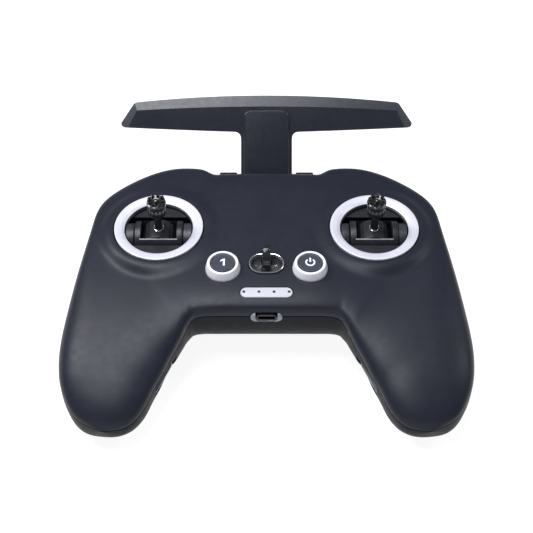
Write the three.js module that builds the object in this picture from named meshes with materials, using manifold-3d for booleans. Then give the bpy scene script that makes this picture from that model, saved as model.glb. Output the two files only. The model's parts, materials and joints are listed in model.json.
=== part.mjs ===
// A hand-held radio transmitter for model aircraft, lying on its back with its T-shaped aerial raised.
// Millimetres. +X is the user's right, +Y points away from the user, +Z points out of the control face.
// The origin is under the middle of the object's box, on the surface that it lies on.
import * as THREE from 'three';
import { mergeVertices } from 'three/addons/utils/BufferGeometryUtils.js';
import Module from 'manifold-3d';

const wasm = await Module();
wasm.setup();

// ---------- driving dimensions ----------
const ORIGIN_Y = 15.87;            // design Y of the middle of the object's box
const GAP = 0.3;                   // clearance between neighbouring pieces
const CUT = 0.8;                   // width added to a hole round a fitted piece
const WALL = 2.4;                  // case wall
const FACE_Z = 43.4;               // control face
const PLATEAU_Z = 43.7;            // raised pad around each stick
const PLATEAU_INNER = 24.5;
const PLATEAU_OUTER = 31;

const STICK_X = 52.3;              // stick centres
const STICK_Y = 20;
const RING_OUTER = 21.5;
const RING_INNER = 16.6;
const RING_TOP = 44.3;
const PIVOT_Z = 34.5;              // gimbal pivot height
const YOKE_RADIUS = 9.5;
const YOKE_LENGTH = 23.4;
const YOKE_PIN_END = 16.7;
const YOKE_PIN_RADIUS = 1.6;
const DRUM_RADIUS = 8.6;
const DRUM_LENGTH = 11.8;
const HOUSING_LOW = 16.6;          // gimbal cup
const HOUSING_RADIUS = 19;
const HOUSING_FLOOR = 18.4;
const FLANGE_RADIUS = 23.4;
const FLANGE_LOW = 35.8;
const FLANGE_TOP = 37.6;
const SHAFT_RADIUS = 1.7;
const SHAFT_TOP = 51.9;
const CAP_LOW = 52.2;
const CAP_RIM = 61;
const TOOTH_COUNT = 9;
const TOOTH_HEIGHT = 2.6;
const TOOTH_PLACE = 3.7;
const SENSOR_PLACE = 20.4;
const SENSOR_Z = 28.5;
const STICK_TOP = 62.9;

const BUTTON_X = 20.5;
const BUTTON_Y = -6;
const BEZEL_RADIUS = 8.25;
const BEZEL_TOP = 47.3;
const CAP_RADIUS = 6;
const STRAP_Y = -3.35;
const STRAP_WIDTH = 16.6;
const STRAP_DEPTH = 12;
const LED_Y = -20.2;
const LED_WIDTH = 24.2;
const LED_DEPTH = 5.5;
const LED_TILT = 0.14;
const LED_Z = 41.5;
const LED_PITCH = 7;
const LED_HOLE_RADIUS = 0.6;
const USB_Z = 35.2;
const USB_WIDTH = 15;
const USB_HEIGHT = 5.4;
const USB_FRONT = -29.9;

const HINGE_Y = 67.2;              // aerial hinge axis
const HINGE_Z = 4.9;
const AERIAL_ANGLE = 47 * Math.PI / 180;
const ARM_WIDTH = 27.2;
const BAR_HALF_TOP = 69.2;
const BAR_HALF_BOTTOM = 77.4;
const BAR_LOW = 43.4;
const BAR_HIGH = 59.2;
const BAR_CROWN = 3.4;
const AERIAL_FRONT = 4.2;
const AERIAL_BACK = 3.9;

const KNUCKLE_RADIUS = 4.4;
const PIN_RADIUS = 2;
const CHEEK_INNER = 15.1;
const CHEEK_OUTER = 24.1;
const CHEEK_TOP = 36.6;
const CHEEK_BACK = 61.8;           // face of the cheek that meets the case
const CHEEK_ROUND = 4.9;
const WASHER_X = 14.35;
const WASHER_RADIUS = 4.1;
const WASHER_WIDTH = 0.8;

const KEY_Z = 23;                  // height of the keys in the back wall
const KEY_WIDTH = 13;
const KEY_HEIGHT = 6.6;
const LEVER_WIDTH = 5.4;
const LEVER_HEIGHT = 5;
const LEVER_TRAVEL = 4;
const DIAL_RADIUS = 7.8;
const DIAL_WIDTH = 6;
const DIAL_DEPTH = 6.8;
const DIAL_SHAFT_RADIUS = 1.45;
// Each seat: side, x, y of the wall and how far the wall's outward direction turns from +Y.
const SEATS = {
  pause: [-1, 42, 65.2, 0],
  dial: [-1, 57, 61.8, 22.5],
  c2: [-1, 73.2, 51, 42],
  startStop: [1, 42, 65.2, 0],
  record: [1, 57, 61.8, 22.5],
  mode: [1, 73.2, 51, 42],
};

const SLOT_WIDTH = 19;             // spare stick slot in the inner side of each handle
const SLOT_HEIGHT = 8;
const SLOT_DEPTH = 12;
const SLOT_X = 47.4;
const SLOT_Y = -50.6;
const SLOT_Z = 19.4;
const SLOT_TURN = 22;

// Each screw: name, x, y, z of the rear shell's outside and of the front shell's inside.
const SCREWS = [
  ['left_rear_screw', -31, 46, 9.6, 42],
  ['right_rear_screw', 31, 46, 9.6, 42],
  ['left_handle_screw', -72, -47, 0.2, 33.4],
  ['right_handle_screw', 72, -47, 0.2, 33.4],
];
const POST_RADIUS = 3.2;
const POST_START = 4.9;            // from the rear shell's outside to the foot of a screw post
const SCREW_HEAD_RADIUS = 2.7;
const SCREW_RADIUS = 1.4;
const SCREW_LENGTH = 10;

const MAIN_BOARD_Z = 31.7;
const CELL_RADIUS = 8.6;
const CELL_LENGTH = 65;

// The case is lofted through slanted sections from its back or outer edge to its front or inner edge.
// Each row: outer x, y, inner x, y, seam z outer, inner, top z outer, inner, bottom z outer, inner.
const SECTIONS = [
  [0, 61.3, 0, -29, 35.5, 35.5, 42.9, FACE_Z, 9.6, 9.8],
  [12, 61.3, 10, -29, 35.5, 35.5, 42.9, FACE_Z, 9.6, 9.8],
  [22, 61, 18.5, -29, 35.5, 35.5, 42.9, FACE_Z, 9.6, 9.8],
  [27, 61, 24.5, -29, 35.4, 35.4, 42.9, 43.2, 9.6, 9.8],
  [33.8, 64.8, 30.2, -29.1, 35.2, 35, 43, 42.8, 9.6, 9.8],
  [46, 65.2, 33.8, -29.8, 35, 34, 43, 42.3, 9.6, 9.8],
  [57, 61.8, 35.6, -31.8, 34.8, 33, 42.9, 41.8, 9.6, 9.8],
  [68.5, 54.8, 37, -33.8, 34.8, 31.8, 42.7, 41.2, 9.6, 9.6],
  [77.3, 46.6, 38.2, -36.4, 34.7, 30.6, 42.3, 40.4, 9.6, 9.2],
  [83.3, 35.2, 39.6, -39.4, 34.5, 29.6, 42, 39.4, 9.6, 8.8],
  [87, 20, 41.5, -43.2, 33.5, 28.4, 41.8, 38.2, 9.6, 8],
  [90.2, 0, 44.4, -48.8, 31.5, 26.8, 41, 36.6, 8.6, 6.8],
  [93, -18, 47.6, -55.8, 28.5, 25, 39.4, 34.6, 4, 4.6],
  [95, -35, 51, -62, 26, 23, 37, 32.2, -1.2, 1.6],
  [95.2, -47, 53.6, -68, 24.5, 21.5, 34.6, 30, -2.8, 1],
  [93.8, -58, 56.3, -72.8, 23.2, 20, 31.6, 27.6, -1.8, 3.2],
  [90.3, -67.6, 59.8, -76.8, 21.8, 18.8, 28, 25, 2.2, 6.4],
  [84.5, -75.6, 65, -79.6, 20, 18.2, 23.6, 22, 8, 10.6],
  [73.5, -81, 73.5, -81, 18.6, 18.6, 18.6, 18.6, 18.6, 18.6],
];
const LAST = SECTIONS.length - 1;
const HANDLE_START = 7;            // section from which the rounder handle shape takes over
const STEPS_U = 2;                 // loft steps between sections
const STEPS_TOP = 7;
const STEPS_BOTTOM = 7;
const TIP_INSET = 0.972;           // the inner surface stops this far along the spine

// ---------- materials ----------
const finish = {
  case: [0x2e333b, 0.55, 0],
  blackPlastic: [0x141518, 0.4, 0],
  silver: [0xdcdee6, 0.4, 0.1],
  key: [0x4a505a, 0.5, 0],
  steel: [0xb9bcc2, 0.3, 0.9],
  chrome: [0xe4e6ea, 0.12, 1],
  gloss: [0x1a1b1f, 0.15, 0],
  board: [0x1f5a38, 0.5, 0],
  cell: [0x2f6fb0, 0.45, 0],
  rubber: [0x202225, 0.8, 0],
  greyPlastic: [0x8b9098, 0.35, 0],
};

// ---------- solids ----------
function toSolid(geometry) {
  const bare = geometry.clone();
  bare.deleteAttribute('normal');
  bare.deleteAttribute('uv');
  const merged = mergeVertices(bare, 1e-4);
  const index = merged.index.array;
  const triangles = [];
  for (let i = 0; i < index.length; i += 3) {
    const [a, b, c] = index.slice(i, i + 3);
    if (a !== b && b !== c && a !== c) triangles.push(a, b, c);
  }
  return new wasm.Manifold(new wasm.Mesh({
    numProp: 3,
    vertProperties: new Float32Array(merged.attributes.position.array),
    triVerts: new Uint32Array(triangles),
  }));
}

function toGeometry(solid) {
  const mesh = solid.getMesh();
  const geometry = new THREE.BufferGeometry();
  geometry.setAttribute('position', new THREE.BufferAttribute(new Float32Array(mesh.vertProperties), 3));
  geometry.setIndex(new THREE.BufferAttribute(new Uint32Array(mesh.triVerts), 1));
  geometry.computeVertexNormals();
  return geometry;
}

function box(width, depth, height, x = 0, y = 0, z = 0) {
  return toSolid(new THREE.BoxGeometry(width, depth, height).translate(x, y, z));
}

// A cylinder whose axis runs along X, Y or Z.
function rod(radius, length, axis, x = 0, y = 0, z = 0, sides = 24) {
  const geometry = new THREE.CylinderGeometry(radius, radius, length, sides);
  if (axis === 'x') geometry.rotateZ(-Math.PI / 2);
  if (axis === 'z') geometry.rotateX(Math.PI / 2);
  return toSolid(geometry.translate(x, y, z));
}

// A solid of revolution about Z from [radius, z] pairs.
function turned(profile, sides = 36) {
  const points = profile.map(([r, z]) => new THREE.Vector2(r, z));
  return toSolid(new THREE.LatheGeometry(points, sides).rotateX(Math.PI / 2));
}

function stadiumShape(width, depth) {
  const radius = Math.min(width, depth) / 2;
  const half = Math.max(width, depth) / 2 - radius;
  const shape = new THREE.Shape();
  if (width >= depth) {
    shape.absarc(half, 0, radius, -Math.PI / 2, Math.PI / 2);
    shape.absarc(-half, 0, radius, Math.PI / 2, Math.PI * 1.5);
  } else {
    shape.absarc(0, half, radius, 0, Math.PI);
    shape.absarc(0, -half, radius, Math.PI, Math.PI * 2);
  }
  shape.closePath();
  return shape;
}

function prism(shape, low, high, curveSegments = 5) {
  const options = { depth: high - low, bevelEnabled: false, curveSegments };
  return toSolid(new THREE.ExtrudeGeometry(shape, options).translate(0, 0, low));
}

function stadium(width, depth, low, high, x = 0, y = 0) {
  return prism(stadiumShape(width, depth), low, high).translate(x, y, 0);
}

const group = new THREE.Group();

function addNode(parent, name, solid, look) {
  const [color, roughness, metalness] = finish[look];
  const material = new THREE.MeshStandardMaterial({ color, roughness, metalness });
  const mesh = new THREE.Mesh(toGeometry(solid), material);
  mesh.name = name;
  parent.add(mesh);
  return mesh;
}

// ---------- case ----------
function cubic(a, b, c, d, t) {
  return b + 0.5 * t * (c - a + t * (2 * a - 5 * b + 4 * c - d + t * (3 * (b - c) + d - a)));
}

// Section values at a place along the spine: 0 is the middle of the case and 1 is a handle's tip.
function sectionAt(place) {
  const span = Math.min(Math.max(place, 0), 1) * LAST;
  const k = Math.min(Math.floor(span), LAST - 1);
  const mirrored = SECTIONS[1].map((value, i) => (i === 0 || i === 2 ? -value : value));
  const before = k === 0 ? mirrored : SECTIONS[k - 1];
  const after = SECTIONS[Math.min(k + 2, LAST)];
  return SECTIONS[k].map((value, i) => cubic(before[i], value, SECTIONS[k + 1][i], after[i], span - k));
}

function smooth(low, high, value) {
  const t = Math.min(Math.max((value - low) / (high - low), 0), 1);
  return t * t * (3 - 2 * t);
}

function power(value, exponent) {
  return Math.sign(value) * Math.abs(value) ** exponent;
}

// A point of the case: turn 0 to 1 runs over the top from the outer seam to the inner one, 1 to 2 below.
function casePoint(place, turn, inset) {
  const side = Math.sign(place);
  const row = sectionAt(Math.abs(place));
  const outer = new THREE.Vector2(row[0], row[1]);
  const inner = new THREE.Vector2(row[2], row[3]);
  const reach = inner.clone().sub(outer);
  const width = reach.length();
  reach.multiplyScalar(width > 0 ? Math.min(inset / width, 0.5) : 0);
  outer.add(reach);
  inner.sub(reach);
  const handle = smooth(HANDLE_START, HANDLE_START + 6, Math.abs(place) * LAST);
  const isTop = turn <= 1;
  const lean = (1 - Math.cos(Math.PI * turn)) / 2;
  const flat = isTop ? 6 - 1.8 * lean : 6.5 - 3.1 * lean;
  const round = isTop ? 2.5 : 2.7;
  const exponent = flat + (round - flat) * handle;
  const across = power(Math.cos(Math.PI * turn), 2 / exponent);
  const rise = Math.abs(Math.sin(Math.PI * turn)) ** (2 / exponent);
  const w = (1 - across) / 2;
  const seam = row[4] + (row[5] - row[4]) * w + (isTop ? GAP / 2 : -GAP / 2);
  const edge = isTop ? row[6] + (row[7] - row[6]) * w - inset : row[8] + (row[9] - row[8]) * w + inset;
  const x = outer.x + (inner.x - outer.x) * w;
  const y = outer.y + (inner.y - outer.y) * w;
  let z = seam + (edge - seam) * rise;
  if (isTop && inset === 0) {
    const distance = Math.hypot(x - STICK_X, y - STICK_Y);
    z += (PLATEAU_Z - z) * (1 - smooth(PLATEAU_INNER, PLATEAU_OUTER, distance));
  }
  return [side * x, y, z];
}

// Half of the case as a thin closed shell: an outer and an inner skin joined along the seam.
function caseHalf(turnFrom, turnTo, steps) {
  const columns = 2 * LAST * STEPS_U;
  const positions = [];
  const skins = [0, WALL].map((inset) => {
    const reach = inset === 0 ? 1 : TIP_INSET;
    const grid = [];
    for (let i = 0; i <= columns; i += 1) {
      const place = ((2 * i) / columns - 1) * reach;
      const isTip = i === 0 || i === columns;
      const line = [];
      for (let j = 0; j <= steps; j += 1) {
        if (isTip && j > 0) {
          line.push(line[0]);
          continue;
        }
        const turn = turnFrom + ((turnTo - turnFrom) * j) / steps;
        const point = casePoint(place, isTip ? turnFrom : turn, isTip ? 50 : inset);
        line.push(positions.length / 3);
        positions.push(...point);
      }
      grid.push(line);
    }
    return grid;
  });
  const triangles = [];
  const quad = (a, b, c, d) => {
    if (a !== b && b !== c && a !== c) triangles.push(a, b, c);
    if (a !== c && c !== d && a !== d) triangles.push(a, c, d);
  };
  for (let i = 0; i < columns; i += 1) {
    for (let j = 0; j < steps; j += 1) {
      const [outside, inside] = skins;
      quad(outside[i][j], outside[i][j + 1], outside[i + 1][j + 1], outside[i + 1][j]);
      quad(inside[i][j], inside[i + 1][j], inside[i + 1][j + 1], inside[i][j + 1]);
    }
    for (const [j, flip] of [[0, false], [steps, true]]) {
      const a = skins[0][i][j];
      const b = skins[0][i + 1][j];
      const c = skins[1][i + 1][j];
      const d = skins[1][i][j];
      if (flip) quad(a, d, c, b);
      else quad(a, b, c, d);
    }
  }
  const geometry = new THREE.BufferGeometry();
  geometry.setAttribute('position', new THREE.BufferAttribute(new Float32Array(positions), 3));
  geometry.setIndex(triangles);
  return toSolid(geometry);
}

function usbSlot(width, height, from, to) {
  return wallStadium(width, height, from, to).translate(0, 0, USB_Z);
}

function addFrontShell() {
  let shell = caseHalf(0, 1, STEPS_TOP);
  for (const [, x, y, low, high] of SCREWS) {
    const foot = low + POST_START;
    shell = shell.add(rod(POST_RADIUS, high - foot, 'z', x, y, (high + foot) / 2, 10));
    shell = shell.subtract(rod(SCREW_RADIUS + GAP, 12, 'z', x, y, low + 6, 8));
  }
  for (const side of [-1, 1]) {
    shell = shell.subtract(rod(RING_OUTER + 0.5, 12, 'z', side * STICK_X, STICK_Y, 44, 30));
    shell = shell.subtract(rod(BEZEL_RADIUS + GAP, 12, 'z', side * BUTTON_X, BUTTON_Y, 44, 18));
  }
  shell = shell.subtract(stadium(STRAP_WIDTH + CUT, STRAP_DEPTH + CUT, 38, 50, 0, STRAP_Y));
  shell = shell.subtract(ledSlot(LED_WIDTH + CUT, LED_DEPTH + CUT, 12));
  shell = shell.subtract(usbSlot(USB_WIDTH + CUT, USB_HEIGHT + CUT, USB_FRONT - 3, USB_FRONT + 6));
  addNode(group, 'front_shell', shell, 'case');
}

function ledSlot(width, depth, height) {
  const slot = stadium(width, depth, -height / 2, height / 2);
  return slot.rotate([THREE.MathUtils.radToDeg(LED_TILT), 0, 0]).translate(0, LED_Y, LED_Z);
}

function addLedBar() {
  let bar = ledSlot(LED_WIDTH, LED_DEPTH, 2.4);
  for (const k of [-1.5, -0.5, 0.5, 1.5]) {
    bar = bar.subtract(rod(LED_HOLE_RADIUS, 2, 'z', k * LED_PITCH, LED_Y + 0.6, LED_Z + 1.7, 8));
  }
  addNode(group, 'led_bar', bar, 'silver');
}

// ---------- back wall keys ----------
// Seat frames look outwards along local +Y, with local +X along the wall.
function seated(solid, seat) {
  const [side, x, y, turn] = SEATS[seat];
  return solid.rotate([0, 0, -side * turn]).translate(side * x, y, KEY_Z);
}

function wallStadium(width, height, from, to) {
  return prism(stadiumShape(width, height), 0, to - from).rotate([90, 0, 0]).translate(0, to, 0);
}

function slotFrame(solid, side) {
  const aimed = solid.rotate([0, 0, side > 0 ? SLOT_TURN : 180 - SLOT_TURN]);
  return aimed.translate(side * SLOT_X, SLOT_Y, SLOT_Z);
}

function addRearShell() {
  let shell = caseHalf(1, 2, STEPS_BOTTOM).subtract(box(260, 260, 20, 0, 0, -10));
  for (const [, x, y, low] of SCREWS) {
    shell = shell.subtract(rod(SCREW_RADIUS + GAP, 8, 'z', x, y, low + 2, 8));
    shell = shell.subtract(rod(SCREW_HEAD_RADIUS + GAP, 6, 'z', x, y, low - 1.7, 12));
  }
  for (const seat of ['pause', 'startStop', 'record']) {
    shell = shell.subtract(seated(wallStadium(KEY_WIDTH + CUT, KEY_HEIGHT + CUT, -8, 4), seat));
  }
  for (const seat of ['c2', 'mode']) {
    const width = LEVER_WIDTH + 2 * LEVER_TRAVEL + CUT;
    shell = shell.subtract(seated(wallStadium(width, LEVER_HEIGHT + CUT, -8, 4), seat));
  }
  shell = shell.subtract(seated(box(DIAL_WIDTH + CUT, 12, 2 * DIAL_RADIUS + 0.6, 0, -1, 0), 'dial'));
  shell = shell.subtract(usbSlot(USB_WIDTH + CUT, USB_HEIGHT + CUT, USB_FRONT - 3, USB_FRONT + 6));
  for (const side of [-1, 1]) {
    shell = shell.subtract(slotFrame(box(20, SLOT_WIDTH + CUT, SLOT_HEIGHT + CUT, 3), side));
  }
  addNode(group, 'rear_shell', shell, 'case');
}

function addKeys() {
  const keys = [['pause_button', 'pause'], ['start_stop_button', 'startStop'], ['record_button', 'record']];
  for (const [name, seat] of keys) {
    addNode(group, name, seated(wallStadium(KEY_WIDTH, KEY_HEIGHT, -6.4, 1.4), seat), 'key');
  }
  for (const [name, seat] of [['c2_switch', 'c2'], ['mode_switch', 'mode']]) {
    const knob = wallStadium(LEVER_WIDTH, LEVER_HEIGHT, -4.6, 3);
    addNode(group, `${name}_lever`, seated(knob, seat), 'key');
    addNode(group, `${name}_body`, seated(box(16, 5.6, 7, 0, -9.4, 0), seat), 'blackPlastic');
  }
  addNode(group, 'right_key_board', seated(box(15, 1.2, 11, 0, -9.2, 0), 'record'), 'board');
}

function addDial() {
  const wheel = rod(DIAL_RADIUS, DIAL_WIDTH, 'x', 0, -DIAL_DEPTH, 0, 32);
  const bore = rod(DIAL_SHAFT_RADIUS + GAP, 20, 'x', 0, -DIAL_DEPTH, 0, 12);
  addNode(group, 'dial_wheel', seated(wheel.subtract(bore), 'dial'), 'key');
  const shaft = rod(DIAL_SHAFT_RADIUS, 11.8, 'x', 0, -DIAL_DEPTH, 0, 12);
  addNode(group, 'dial_shaft', seated(shaft, 'dial'), 'steel');
  let bracket = box(10.8, 1.2, 9, 0, -15.9, 0);
  for (const x of [-4.6, 4.6]) {
    bracket = bracket.add(box(1.6, 11.2, 9, x, -10.8, 0));
  }
  addNode(group, 'dial_bracket', seated(bracket.subtract(bore), 'dial'), 'blackPlastic');
}

function addSlotLiners() {
  for (const [word, side] of [['left', -1], ['right', 1]]) {
    const outside = box(SLOT_DEPTH, SLOT_WIDTH, SLOT_HEIGHT, SLOT_DEPTH / 2, 0, 0);
    const inside = box(SLOT_DEPTH, SLOT_WIDTH - 2, SLOT_HEIGHT - 2, SLOT_DEPTH / 2 - 1, 0, 0);
    addNode(group, `${word}_slot_liner`, slotFrame(outside.subtract(inside), side), 'greyPlastic');
  }
}

// ---------- sticks ----------
function ringProfile() {
  const top = RING_TOP;
  return [
    [RING_INNER, top - 1.6], [RING_OUTER, top - 1.6], [RING_OUTER, top - 0.3], [RING_OUTER - 0.4, top],
    [RING_INNER + 1.2, top - 0.25], [RING_INNER, top - 0.9], [RING_INNER, top - 1.6],
  ];
}

function housingProfile() {
  const collar = RING_TOP - 1.6 - GAP;
  return [
    [0, HOUSING_LOW], [HOUSING_RADIUS, HOUSING_LOW], [HOUSING_RADIUS, FLANGE_LOW],
    [FLANGE_RADIUS, FLANGE_LOW], [FLANGE_RADIUS, FLANGE_TOP], [RING_OUTER - 0.1, FLANGE_TOP],
    [RING_OUTER - 0.1, collar], [RING_INNER + 0.5, collar], [RING_INNER + 0.7, HOUSING_FLOOR],
    [0, HOUSING_FLOOR],
  ];
}

function stickCap() {
  const body = [
    [0, CAP_LOW], [3, CAP_LOW], [4, CAP_LOW + 1.4], [4.4, CAP_LOW + 3.7], [4.6, CAP_RIM], [0, CAP_RIM + 0.4],
  ];
  let cap = turned(body, 14);
  for (let k = 0; k < TOOTH_COUNT; k += 1) {
    const angle = (2 * Math.PI * k) / TOOTH_COUNT;
    const tooth = new THREE.CylinderGeometry(0.4, 1.15, TOOTH_HEIGHT, 4).rotateX(Math.PI / 2);
    const x = TOOTH_PLACE * Math.cos(angle);
    const y = TOOTH_PLACE * Math.sin(angle);
    tooth.translate(x, y, STICK_TOP - TOOTH_HEIGHT / 2);
    cap = cap.add(toSolid(tooth));
  }
  return cap.add(rod(0.9, TOOTH_HEIGHT, 'z', 0, 0, STICK_TOP - 1.6, 8));
}

function addStick(word, side) {
  const stick = new THREE.Group();
  stick.position.set(side * STICK_X, STICK_Y, 0);
  group.add(stick);
  addNode(stick, `${word}_stick_ring`, turned(ringProfile(), 36), 'silver');
  addNode(stick, `${word}_gimbal_housing`, turned(housingProfile(), 24), 'blackPlastic');
  const window = box(2 * DRUM_RADIUS + 1, DRUM_LENGTH + 0.6, 30, 0, 0, PIVOT_Z);
  let yoke = rod(YOKE_RADIUS, YOKE_LENGTH, 'x', 0, 0, PIVOT_Z, 20).subtract(window);
  for (const end of [-1, 1]) {
    const root = YOKE_LENGTH / 2 - 0.5;
    const pinX = end * (YOKE_PIN_END + root) / 2;
    yoke = yoke.add(rod(YOKE_PIN_RADIUS, YOKE_PIN_END - root, 'x', pinX, 0, PIVOT_Z, 12));
  }
  addNode(stick, `${word}_pitch_yoke`, yoke, 'blackPlastic');
  const below = box(30, 30, 20, 0, 0, PIVOT_Z - 14);
  const drum = rod(DRUM_RADIUS, DRUM_LENGTH, 'y', 0, 0, PIVOT_Z, 20).subtract(below);
  addNode(stick, `${word}_roll_drum`, drum, 'blackPlastic');
  const shaftLow = PIVOT_Z + DRUM_RADIUS + GAP;
  const shaft = rod(SHAFT_RADIUS, SHAFT_TOP - shaftLow, 'z', 0, 0, (SHAFT_TOP + shaftLow) / 2, 12);
  addNode(stick, `${word}_stick_shaft`, shaft, 'blackPlastic');
  addNode(stick, `${word}_stick_cap`, stickCap(), 'blackPlastic');
  addNode(stick, `${word}_pitch_sensor`, box(2, 10, 12, side * SENSOR_PLACE, 0, SENSOR_Z), 'board');
  addNode(stick, `${word}_roll_sensor`, box(10, 2, 12, 0, -SENSOR_PLACE, SENSOR_Z), 'board');
}

// ---------- control face ----------
function addFaceButton(name, side) {
  const button = new THREE.Group();
  button.position.set(side * BUTTON_X, BUTTON_Y, 0);
  group.add(button);
  const bezel = [
    [CAP_RADIUS + 0.35, 39.4], [BEZEL_RADIUS, 39.4], [BEZEL_RADIUS, BEZEL_TOP - 1.3],
    [BEZEL_RADIUS - 0.4, BEZEL_TOP - 0.3], [BEZEL_RADIUS - 1, BEZEL_TOP],
    [CAP_RADIUS + 0.35, BEZEL_TOP - 0.4], [CAP_RADIUS + 0.35, 39.4],
  ];
  addNode(button, `${name}_bezel`, turned(bezel, 20), 'silver');
  const top = BEZEL_TOP + 0.2;
  const cap = [
    [0, 41.6], [CAP_RADIUS, 41.6], [CAP_RADIUS, top - 0.4], [CAP_RADIUS - 0.6, top], [0, top - 0.2],
  ];
  addNode(button, `${name}_button`, turned(cap, 20), 'key');
}

function addStrapMount() {
  const cupOutside = stadium(STRAP_WIDTH, STRAP_DEPTH, 37.8, 42.8, 0, STRAP_Y);
  const cupInside = stadium(STRAP_WIDTH - 2, STRAP_DEPTH - 2, 38.9, 44, 0, STRAP_Y);
  addNode(group, 'strap_recess', cupOutside.subtract(cupInside), 'gloss');
  const rimOutside = stadium(STRAP_WIDTH + 0.2, STRAP_DEPTH + 0.2, 43.1, 44, 0, STRAP_Y);
  const rimInside = stadium(STRAP_WIDTH - 1.5, STRAP_DEPTH - 1.5, 43, 45, 0, STRAP_Y);
  addNode(group, 'strap_rim', rimOutside.subtract(rimInside), 'chrome');
  const arch = [
    [-3.5, 39.2], [-3.8, 43.5], [-3.2, 48.6], [1.4, 52], [4.8, 49.2], [3.8, 43.5], [3.5, 39.2],
  ];
  const path = new THREE.CatmullRomCurve3(arch.map(([y, z]) => new THREE.Vector3(0, STRAP_Y + y, z)));
  const options = { steps: 12, extrudePath: path, bevelEnabled: false, curveSegments: 2 };
  addNode(group, 'strap_bar', toSolid(new THREE.ExtrudeGeometry(stadiumShape(4, 2.2), options)), 'gloss');
}

function addUsbPort() {
  const trim = usbSlot(USB_WIDTH, USB_HEIGHT, USB_FRONT, USB_FRONT + 3).subtract(usbSlot(9.8, 4, -34, -20));
  addNode(group, 'usb_trim', trim, 'greyPlastic');
  const shell = usbSlot(9, 3.2, -29.5, -22).subtract(usbSlot(8.3, 2.5, -31, -23));
  addNode(group, 'usb_socket', shell.add(box(6.6, 5.6, 0.7, 0, -25.7, USB_Z)), 'steel');
}

// ---------- inside ----------
function addElectronics() {
  const buttonBoard = box(58, 26, 1.2, 0, -1, 36.9);
  const tactLeft = rod(3.2, 3.4, 'z', -BUTTON_X, BUTTON_Y, 38.9, 12);
  const tactRight = rod(3.2, 3.4, 'z', BUTTON_X, BUTTON_Y, 38.9, 12);
  addNode(group, 'button_board', buttonBoard.add(tactLeft).add(tactRight), 'board');
  const radioShield = box(30, 20, 3, -6, 36, 34.6);
  const buzzer = rod(6, 4, 'z', 17, 36, 35, 20);
  const mainBoard = box(52, 80, 1.6, 0, 14.7, MAIN_BOARD_Z + 0.8);
  addNode(group, 'main_board', mainBoard.add(radioShield).add(buzzer), 'board');
  const cellZ = MAIN_BOARD_Z - GAP - CELL_RADIUS;
  const cellY = 19;
  for (const [word, side] of [['left', -1], ['right', 1]]) {
    const cell = rod(CELL_RADIUS, CELL_LENGTH, 'y', side * (CELL_RADIUS + GAP), cellY, cellZ, 20);
    addNode(group, `${word}_cell`, cell, 'cell');
  }
  const holderDepth = CELL_LENGTH + 4.6;
  const frame = box(42, holderDepth, 11, 0, cellY, cellZ);
  const bay = box(39, CELL_LENGTH + CUT, 20, 0, cellY, cellZ);
  addNode(group, 'cell_holder', frame.subtract(bay), 'blackPlastic');
}

function addScrews() {
  for (const [name, x, y, low] of SCREWS) {
    const head = low + 0.3;
    const profile = [
      [0, head], [SCREW_HEAD_RADIUS, head], [SCREW_HEAD_RADIUS, head + 0.9], [SCREW_RADIUS, head + 0.9],
      [SCREW_RADIUS, head + SCREW_LENGTH], [0, head + SCREW_LENGTH],
    ];
    const cross = box(3, 0.6, 0.8, 0, 0, head).add(box(0.6, 3, 0.8, 0, 0, head));
    addNode(group, name, turned(profile, 10).subtract(cross).translate(x, y, 0), 'steel');
  }
}

// ---------- aerial ----------
// The T outline in the aerial's own plane: X across, Y away from the hinge axis.
function aerialShape(start, inset) {
  const arm = ARM_WIDTH / 2 - inset;
  const low = BAR_LOW + inset;
  const end = BAR_LOW + 2.2 + inset;
  const high = BAR_HIGH - inset;
  const wide = BAR_HALF_BOTTOM - 1.4 * inset;
  const narrow = BAR_HALF_TOP - 1.2 * inset;
  const fillet = 4;
  const shape = new THREE.Shape();
  shape.moveTo(-arm, start);
  shape.lineTo(arm, start);
  shape.lineTo(arm, low - fillet);
  shape.quadraticCurveTo(arm, low, arm + fillet, low);
  shape.quadraticCurveTo(wide / 2, low + 0.6, wide - 3, end);
  shape.quadraticCurveTo(wide, end, wide, end + 2.6);
  shape.lineTo(narrow + 2, high - 2);
  shape.quadraticCurveTo(narrow + 1, high, narrow - 2, high);
  shape.quadraticCurveTo(0, high + 2 * BAR_CROWN, -narrow + 2, high);
  shape.quadraticCurveTo(-narrow - 1, high, -narrow - 2, high - 2);
  shape.lineTo(-wide, end + 2.6);
  shape.quadraticCurveTo(-wide, end, -wide + 3, end);
  shape.quadraticCurveTo(-wide / 2, low + 0.6, -arm - fillet, low);
  shape.quadraticCurveTo(-arm, low, -arm, low - fillet);
  shape.closePath();
  return shape;
}

function addAerial() {
  const aerial = new THREE.Group();
  aerial.position.set(0, HINGE_Y, HINGE_Z);
  aerial.rotation.x = AERIAL_ANGLE;
  group.add(aerial);
  const pocket = prism(aerialShape(9, 1.8), -2.3, 2.6, 3);
  const front = prism(aerialShape(KNUCKLE_RADIUS + 0.8, 0), 0.15, AERIAL_FRONT, 4).subtract(pocket);
  addNode(aerial, 'aerial_front_cover', front, 'case');
  let rear = prism(aerialShape(1, 0), -AERIAL_BACK, -0.15, 4).subtract(pocket);
  rear = rear.add(rod(KNUCKLE_RADIUS, ARM_WIDTH, 'x', 0, 0, 0, 20));
  rear = rear.subtract(rod(PIN_RADIUS + GAP, 40, 'x', 0, 0, 0, 12));
  addNode(aerial, 'aerial_rear_cover', rear, 'case');
  const board = box(14, 44, 1, 0, 32, -1.1).add(box(120, 7, 1, 0, 53.4, -1.1));
  addNode(aerial, 'aerial_board', board, 'board');
  addNode(aerial, 'aerial_coax', rod(0.9, 34, 'y', 5, 27.5, 0.7, 8), 'blackPlastic');
}

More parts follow.
